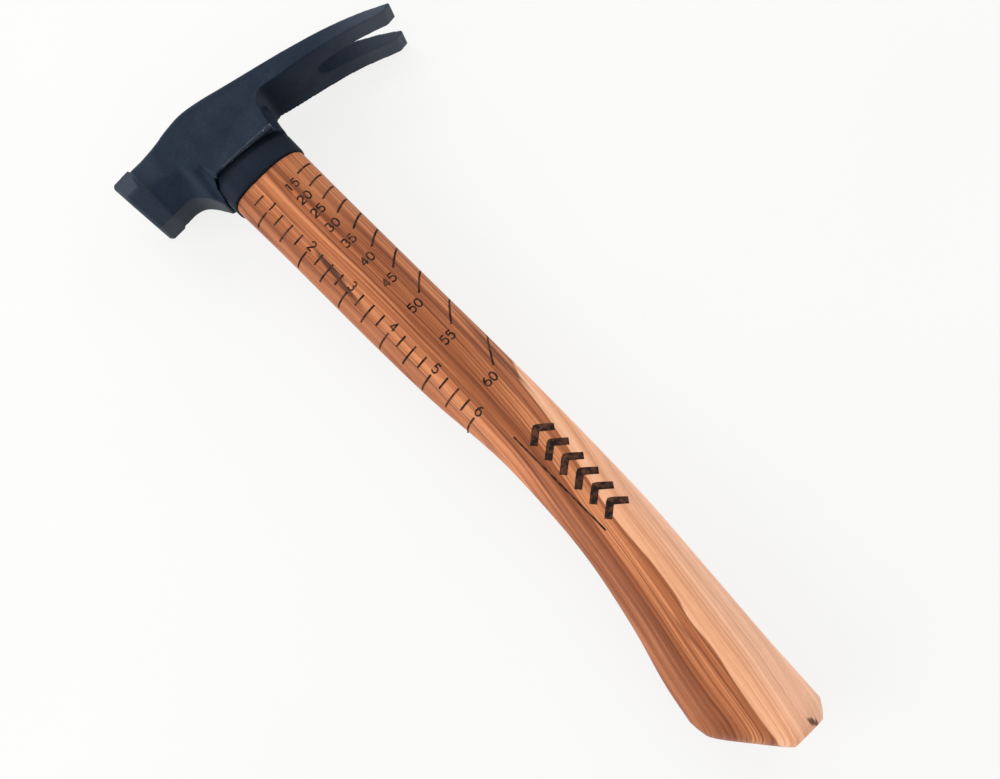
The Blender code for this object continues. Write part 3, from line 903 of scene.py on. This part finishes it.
def coated_steel():
    """Black coating with a fine grit, thinner on the edges, and a few bare specks there."""
    material, tree, shader = new_material("black_coated_steel", 0.42)
    shader.inputs["Specular IOR Level"].default_value = 0.11
    shader.inputs["Specular Tint"].default_value = COATING_TINT
    at = object_space(tree)
    x, y, z = local_axes(tree)
    cloud = noise_at(tree, at, 90.0, 3.0, 0.6)
    grit = noise_at(tree, at, 2600.0, 2.0, 0.6)
    mottle = noise_at(tree, at, 1100.0, 3.0, 0.7)
    speck = noise_at(tree, at, 420.0, 2.0, 0.7)
    base = ramp(tree, cloud, [(0.3, (0.010, 0.017, 0.030)), (0.7, (0.019, 0.027, 0.044))])
    shadow = ramp(tree, mottle, [(0.38, (0.55, 0.57, 0.60)), (0.62, (1, 1, 1))])
    base = mix(tree, 0.55, base, shadow, "MULTIPLY")

    # Below the claw's line the colour is darkened as painted shade; the coating is handled paler on
    # the tips and the block.
    claw_line = plus(tree, times(tree, y, CLAW_LINE_SLOPE), CLAW_LINE)
    underside_shade = smooth_step(tree, minus(tree, claw_line, x), -1.2, 0.6)
    underside_shade = times(tree, underside_shade, smooth_step(tree, y, -23.0, -27.0))
    base = mix(tree, times(tree, underside_shade, 0.7), base, (0.0, 0.0035, 0.010, 1))
    tips = smooth_step(tree, y, -52.0, -94.0)
    block = smooth_step(tree, y, 38.6, 40.4)
    handled = plus(tree, times(tree, tips, 0.9), times(tree, block, 0.25))
    base = mix(tree, handled, base, (0.055, 0.066, 0.085, 1))

    edge = node(tree, "Attribute", attribute_name="edge").outputs["Fac"]
    rubbed = times(tree, smooth_step(tree, edge, 0.25, 0.9), smooth_step(tree, cloud, 0.35, 0.7))
    base = mix(tree, times(tree, rubbed, 0.35), base, (0.10, 0.11, 0.13, 1))
    worn = times(tree, smooth_step(tree, edge, 0.3, 0.6), smooth_step(tree, speck, 0.66, 0.72))
    base = mix(tree, worn, base, (0.36, 0.37, 0.40, 1))

    # The cheeks' lower edges are rubbed to a thin pale line with bright nicks.
    above = minus(tree, x, plus(tree, times(tree, y, UNDERSIDE_SLOPE), UNDERSIDE))
    line = times(
        tree, smooth_step(tree, above, 1.0, 0.3),
        smooth_step(tree, maths(tree, "ABSOLUTE", z), 12.6, 13.4),
        times(tree, smooth_step(tree, y, 12.0, 9.0), smooth_step(tree, y, -20.0, -18.0)),
    )
    base = mix(tree, times(tree, line, 0.4), base, (0.10, 0.115, 0.14, 1))
    nick = times(tree, line, smooth_step(tree, speck, 0.63, 0.67))
    base = mix(tree, nick, base, (0.42, 0.43, 0.46, 1))
    tree.links.new(base, shader.inputs["Base Color"])

    rough = spread_over(tree, grit, 0.42, 0.58)
    dull = times(tree, smooth_step(tree, y, -14.0, -30.0), smooth_step(tree, y, -85.0, -60.0))
    rough = plus(tree, rough, times(tree, underside_shade, 0.25))
    rough = maths(tree, "ADD", rough, times(tree, dull, 0.25), clamp=True)
    tree.links.new(rough, shader.inputs["Roughness"])
    bump(tree, shader, plus(tree, grit, times(tree, cloud, 2.0)), 0.00004)
    return material


def collar_black():
    material, tree, shader = new_material("collar_black", 0.6)
    shader.inputs["Specular IOR Level"].default_value = 0.15
    shader.inputs["Specular Tint"].default_value = COATING_TINT
    at = object_space(tree)
    cloud = noise_at(tree, stretched(tree, at, (60.0, 400.0, 400.0)), 1.0, 3.0)
    base = ramp(tree, cloud, [(0.3, (0.005, 0.009, 0.017)), (0.75, (0.009, 0.013, 0.023))])
    # The collar's top, under the cheeks' overhang, is darkened as painted shade.
    top = smooth_step(tree, local_axes(tree)[0], -4.2, -0.6)
    base = mix(tree, times(tree, top, 0.5), base, (0.001, 0.0025, 0.004, 1))
    tree.links.new(base, shader.inputs["Base Color"])
    bump(tree, shader, noise_at(tree, at, 2200.0, 2.0), 0.00003)
    return material


def hickory():
    """Red-brown heartwood and peach sapwood in long streaks, with dark mineral spots."""
    material, tree, shader = new_material("hickory", 0.42)
    shader.inputs["Specular IOR Level"].default_value = 0.12
    grain = node(tree, "Attribute", attribute_name="grain").outputs["Vector"]
    along, across, through = node(tree, "SeparateXYZ", {0: grain}).outputs
    inside = node(tree, "Attribute", attribute_name="heartwood").outputs["Fac"]
    wave = noise_at(tree, stretched(tree, grain, (0.012, 0.05, 0.06)), 1.0, 2.0)
    ring = plus(tree, across, times(tree, through, 0.30))
    ring = plus(tree, ring, times(tree, wave, 2.4))
    flow = node(tree, "CombineXYZ", {
        0: times(tree, along, 0.004), 1: ring, 2: times(tree, through, 0.03),
    }).outputs[0]
    broad = noise_at(tree, stretched(tree, flow, (1.0, 0.22, 1.0)), 1.0, 2.0, 0.55)
    lines = noise_at(tree, stretched(tree, flow, (1.8, 0.85, 1.0)), 1.0, 3.0, 0.65)
    thin = noise_at(tree, stretched(tree, flow, (3.0, 2.0, 1.0)), 1.0, 2.0, 0.6)
    fibre = noise_at(tree, stretched(tree, grain, (0.12, 3.2, 3.2)), 1.0, 2.0, 0.6)
    tone = plus(tree, times(tree, broad, 0.5), times(tree, lines, 0.5))

    heart = ramp(tree, tone, [
        (0.38, (0.17, 0.048, 0.019)), (0.45, (0.31, 0.095, 0.038)),
        (0.52, (0.45, 0.150, 0.060)), (0.60, (0.66, 0.255, 0.112)),
    ])
    deep = times(tree, smooth_step(tree, inside, 4.0, 20.0),
                 smooth_step(tree, along, -180.0, -230.0))
    heart = mix(tree, times(tree, deep, 0.6), heart, (0.23, 0.070, 0.028, 1))
    side = times(tree, smooth_step(tree, across, 23.0, 32.0), 0.45)
    heart = mix(tree, side, heart, (0.23, 0.072, 0.030, 1))
    # A painted highlight lightens the heartwood along the claw side near the head.
    light = times(tree, smooth_step(tree, across, 15.0, 5.0),
                  smooth_step(tree, along, -75.0, -20.0))
    heart = mix(tree, times(tree, light, 0.5), heart, (0.60, 0.225, 0.092, 1))
    dark_lines = times(tree, smooth_step(tree, thin, 0.54, 0.64), 0.6)
    heart = mix(tree, dark_lines, heart, (0.14, 0.038, 0.018, 1))

    sap = ramp(tree, tone, [
        (0.38, (0.70, 0.32, 0.165)), (0.5, (0.88, 0.44, 0.25)), (0.6, (0.94, 0.55, 0.35)),
    ])
    outer = times(tree, smooth_step(tree, inside, -4.0, -15.0), 0.35)
    sap = mix(tree, outer, sap, (0.88, 0.58, 0.45, 1))
    sap_lines = times(tree, smooth_step(tree, thin, 0.56, 0.66), 0.4)
    sap = mix(tree, sap_lines, sap, (0.48, 0.20, 0.10, 1))

    lines_off = minus(tree, lines, 0.5)
    ragged = plus(tree, inside, times(tree, lines_off, 3.0))
    rim = times(tree, smooth_step(tree, ragged, 2.2, 0.5), 0.4)
    heart = mix(tree, rim, heart, (0.22, 0.066, 0.028, 1))
    colour = mix(tree, smooth_step(tree, ragged, -0.4, 0.4), sap, heart)

    x, y, z = local_axes(tree)
    marked_side = maths(tree, "GREATER_THAN", z, 0.0)
    for spot_x, spot_y, slope, length, width, strength in SPOTS:
        run = minus(tree, x, spot_x)
        middle = plus(tree, times(tree, run, slope), spot_y)
        middle = plus(tree, middle, times(tree, lines_off, SPOT_RAGGED))
        u = maths(tree, "DIVIDE", run, length)
        v = maths(tree, "DIVIDE", minus(tree, y, middle), width)
        far = plus(tree, times(tree, u, u), times(tree, v, v))
        spot = times(tree, smooth_step(tree, far, 1.3, 0.1), marked_side, strength)
        colour = mix(tree, spot, colour, (0.055, 0.02, 0.014, 1))
    fibres = ramp(tree, fibre, [(0.3, (0.62, 0.58, 0.55)), (0.7, (1, 1, 1))])
    colour = mix(tree, 0.35, colour, fibres, "MULTIPLY")
    tree.links.new(colour, shader.inputs["Base Color"])
    tree.links.new(spread_over(tree, lines, 0.36, 0.5), shader.inputs["Roughness"])
    bump(tree, shader, plus(tree, fibre, thin), 0.00005)
    return material


def burned():
    material, tree, shader = new_material("burned_wood", 0.75)
    shader.inputs["Specular IOR Level"].default_value = 0.15
    at = object_space(tree)
    patch = noise_at(tree, at, 380.0, 3.0, 0.6)
    base = ramp(tree, patch, [(0.42, (0.010, 0.005, 0.004)), (0.62, (0.095, 0.036, 0.019))])
    tree.links.new(base, shader.inputs["Base Color"])
    bump(tree, shader, noise_at(tree, at, 1800.0, 2.0), 0.00006)
    return material


def plain_wood():
    material, tree, shader = new_material("wedge_wood", 0.6)
    at = stretched(tree, object_space(tree), (90.0, 160.0, 2200.0))
    bands = noise_at(tree, at, 1.0, 3.0)
    base = ramp(tree, bands, [(0.3, (0.42, 0.26, 0.14)), (0.7, (0.66, 0.46, 0.28))])
    tree.links.new(base, shader.inputs["Base Color"])
    bump(tree, shader, noise_at(tree, at, 2.0, 2.0), 0.00005)
    return material


def bare_steel():
    material, tree, shader = new_material("wedge_steel", 0.38, 1.0)
    at = stretched(tree, object_space(tree), (300.0, 3000.0, 300.0))
    scratch = noise_at(tree, at, 1.0, 3.0)
    base = ramp(tree, scratch, [(0.3, (0.33, 0.33, 0.34)), (0.7, (0.55, 0.55, 0.56))])
    tree.links.new(base, shader.inputs["Base Color"])
    bump(tree, shader, scratch, 0.00003)
    return material


# ---------------------------------------------------------------- stage


def add_light(name, location, size, power):
    """A soft rectangle of light that points at the middle of the scene."""
    data = bpy.data.lights.new(name, "AREA")
    data.energy = power
    data.shape = "RECTANGLE"
    data.size, data.size_y = size
    light = bpy.data.objects.new(name, data)
    light.location = location
    light.rotation_euler = (-Vector(location)).to_track_quat("-Z", "Y").to_euler()
    bpy.context.scene.collection.objects.link(light)


def set_stage():
    mesh = bpy.data.meshes.new("floor")
    level = CAD_BOX[0].z - FLOOR_GAP
    corners = [(-1, -1), (1, -1), (1, 1), (-1, 1)]
    points = [(FLOOR_HALF * x, FLOOR_HALF * y, level) for x, y in corners]
    mesh.from_pydata(points, [], [(0, 1, 2, 3)])
    floor = bpy.data.objects.new("floor", mesh)
    bpy.context.scene.collection.objects.link(floor)
    material, tree, shader = new_material("floor_white", 0.9)
    shader.inputs["Specular IOR Level"].default_value = 0.1
    tint = noise_at(tree, object_space(tree), 6.0, 2.0)
    base = ramp(tree, tint, [(0.3, (0.13, 0.13, 0.129)), (0.7, (0.14, 0.14, 0.139))])
    tree.links.new(base, shader.inputs["Base Color"])
    shader.inputs["Emission Color"].default_value = (1.0, 1.0, 0.99, 1.0)
    shader.inputs["Emission Strength"].default_value = FLOOR_GLOW
    mesh.materials.append(material)

    world = bpy.data.worlds.new("studio")
    world.use_nodes = True
    tree = world.node_tree
    height = node(tree, "SeparateXYZ", {0: node(tree, "TexCoord").outputs["Generated"]}).outputs[2]
    sky = ramp(tree, height, [(0.08, (0.96, 0.96, 0.95)), (0.26, (0.64, 0.65, 0.66))])
    tree.links.new(sky, tree.nodes["Background"].inputs[0])
    bpy.context.scene.world = world
    add_light("left_soft", (0.30, 1.1, 0.55), (1.2, 0.9), 13.0)
    add_light("head_soft", (1.25, -0.15, 0.65), (1.0, 1.0), 7.5)
    add_light("claw_soft", (0.1, -1.2, 0.7), (1.2, 0.8), 5.0)
    bpy.context.scene.view_settings.view_transform = "Standard"


def set_camera():
    """Above the butt end, looking down and a little along the handle."""
    right = Vector((-0.69152686, -0.70766384, -0.14492234))
    down = Vector((-0.67601277, 0.70470766, -0.21539246))
    ahead = Vector((0.25455334, -0.05098033, -0.96571404))
    data = bpy.data.cameras.new("camera")
    data.sensor_width = 36.0
    data.lens = 57.6
    data.clip_start = 0.01
    camera = bpy.data.objects.new("camera", data)
    turn = Matrix((right, -down, -ahead)).transposed().to_4x4()
    camera.matrix_world = Matrix.Translation(put(-316.63, 28.02, 635.37)) @ turn
    bpy.context.scene.collection.objects.link(camera)
    bpy.context.scene.camera = camera


def main():
    dress(make_head(), coated_steel(), "hammer_head")
    dress(make_handle(), hickory(), "handle")
    dress(make_collar(), collar_black(), "overstrike_collar")
    ink = burned()
    for marks in (make_ruler(), make_ornament()):
        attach(marks, "root")
        dress(marks, ink)
    dress(NODES["wooden_wedge"], plain_wood())
    steel = bare_steel()
    for name in ("steel_wedge_front", "steel_wedge_rear"):
        dress(NODES[name], steel)
    set_stage()
    set_camera()


main()
bpy.context.view_layer.update()
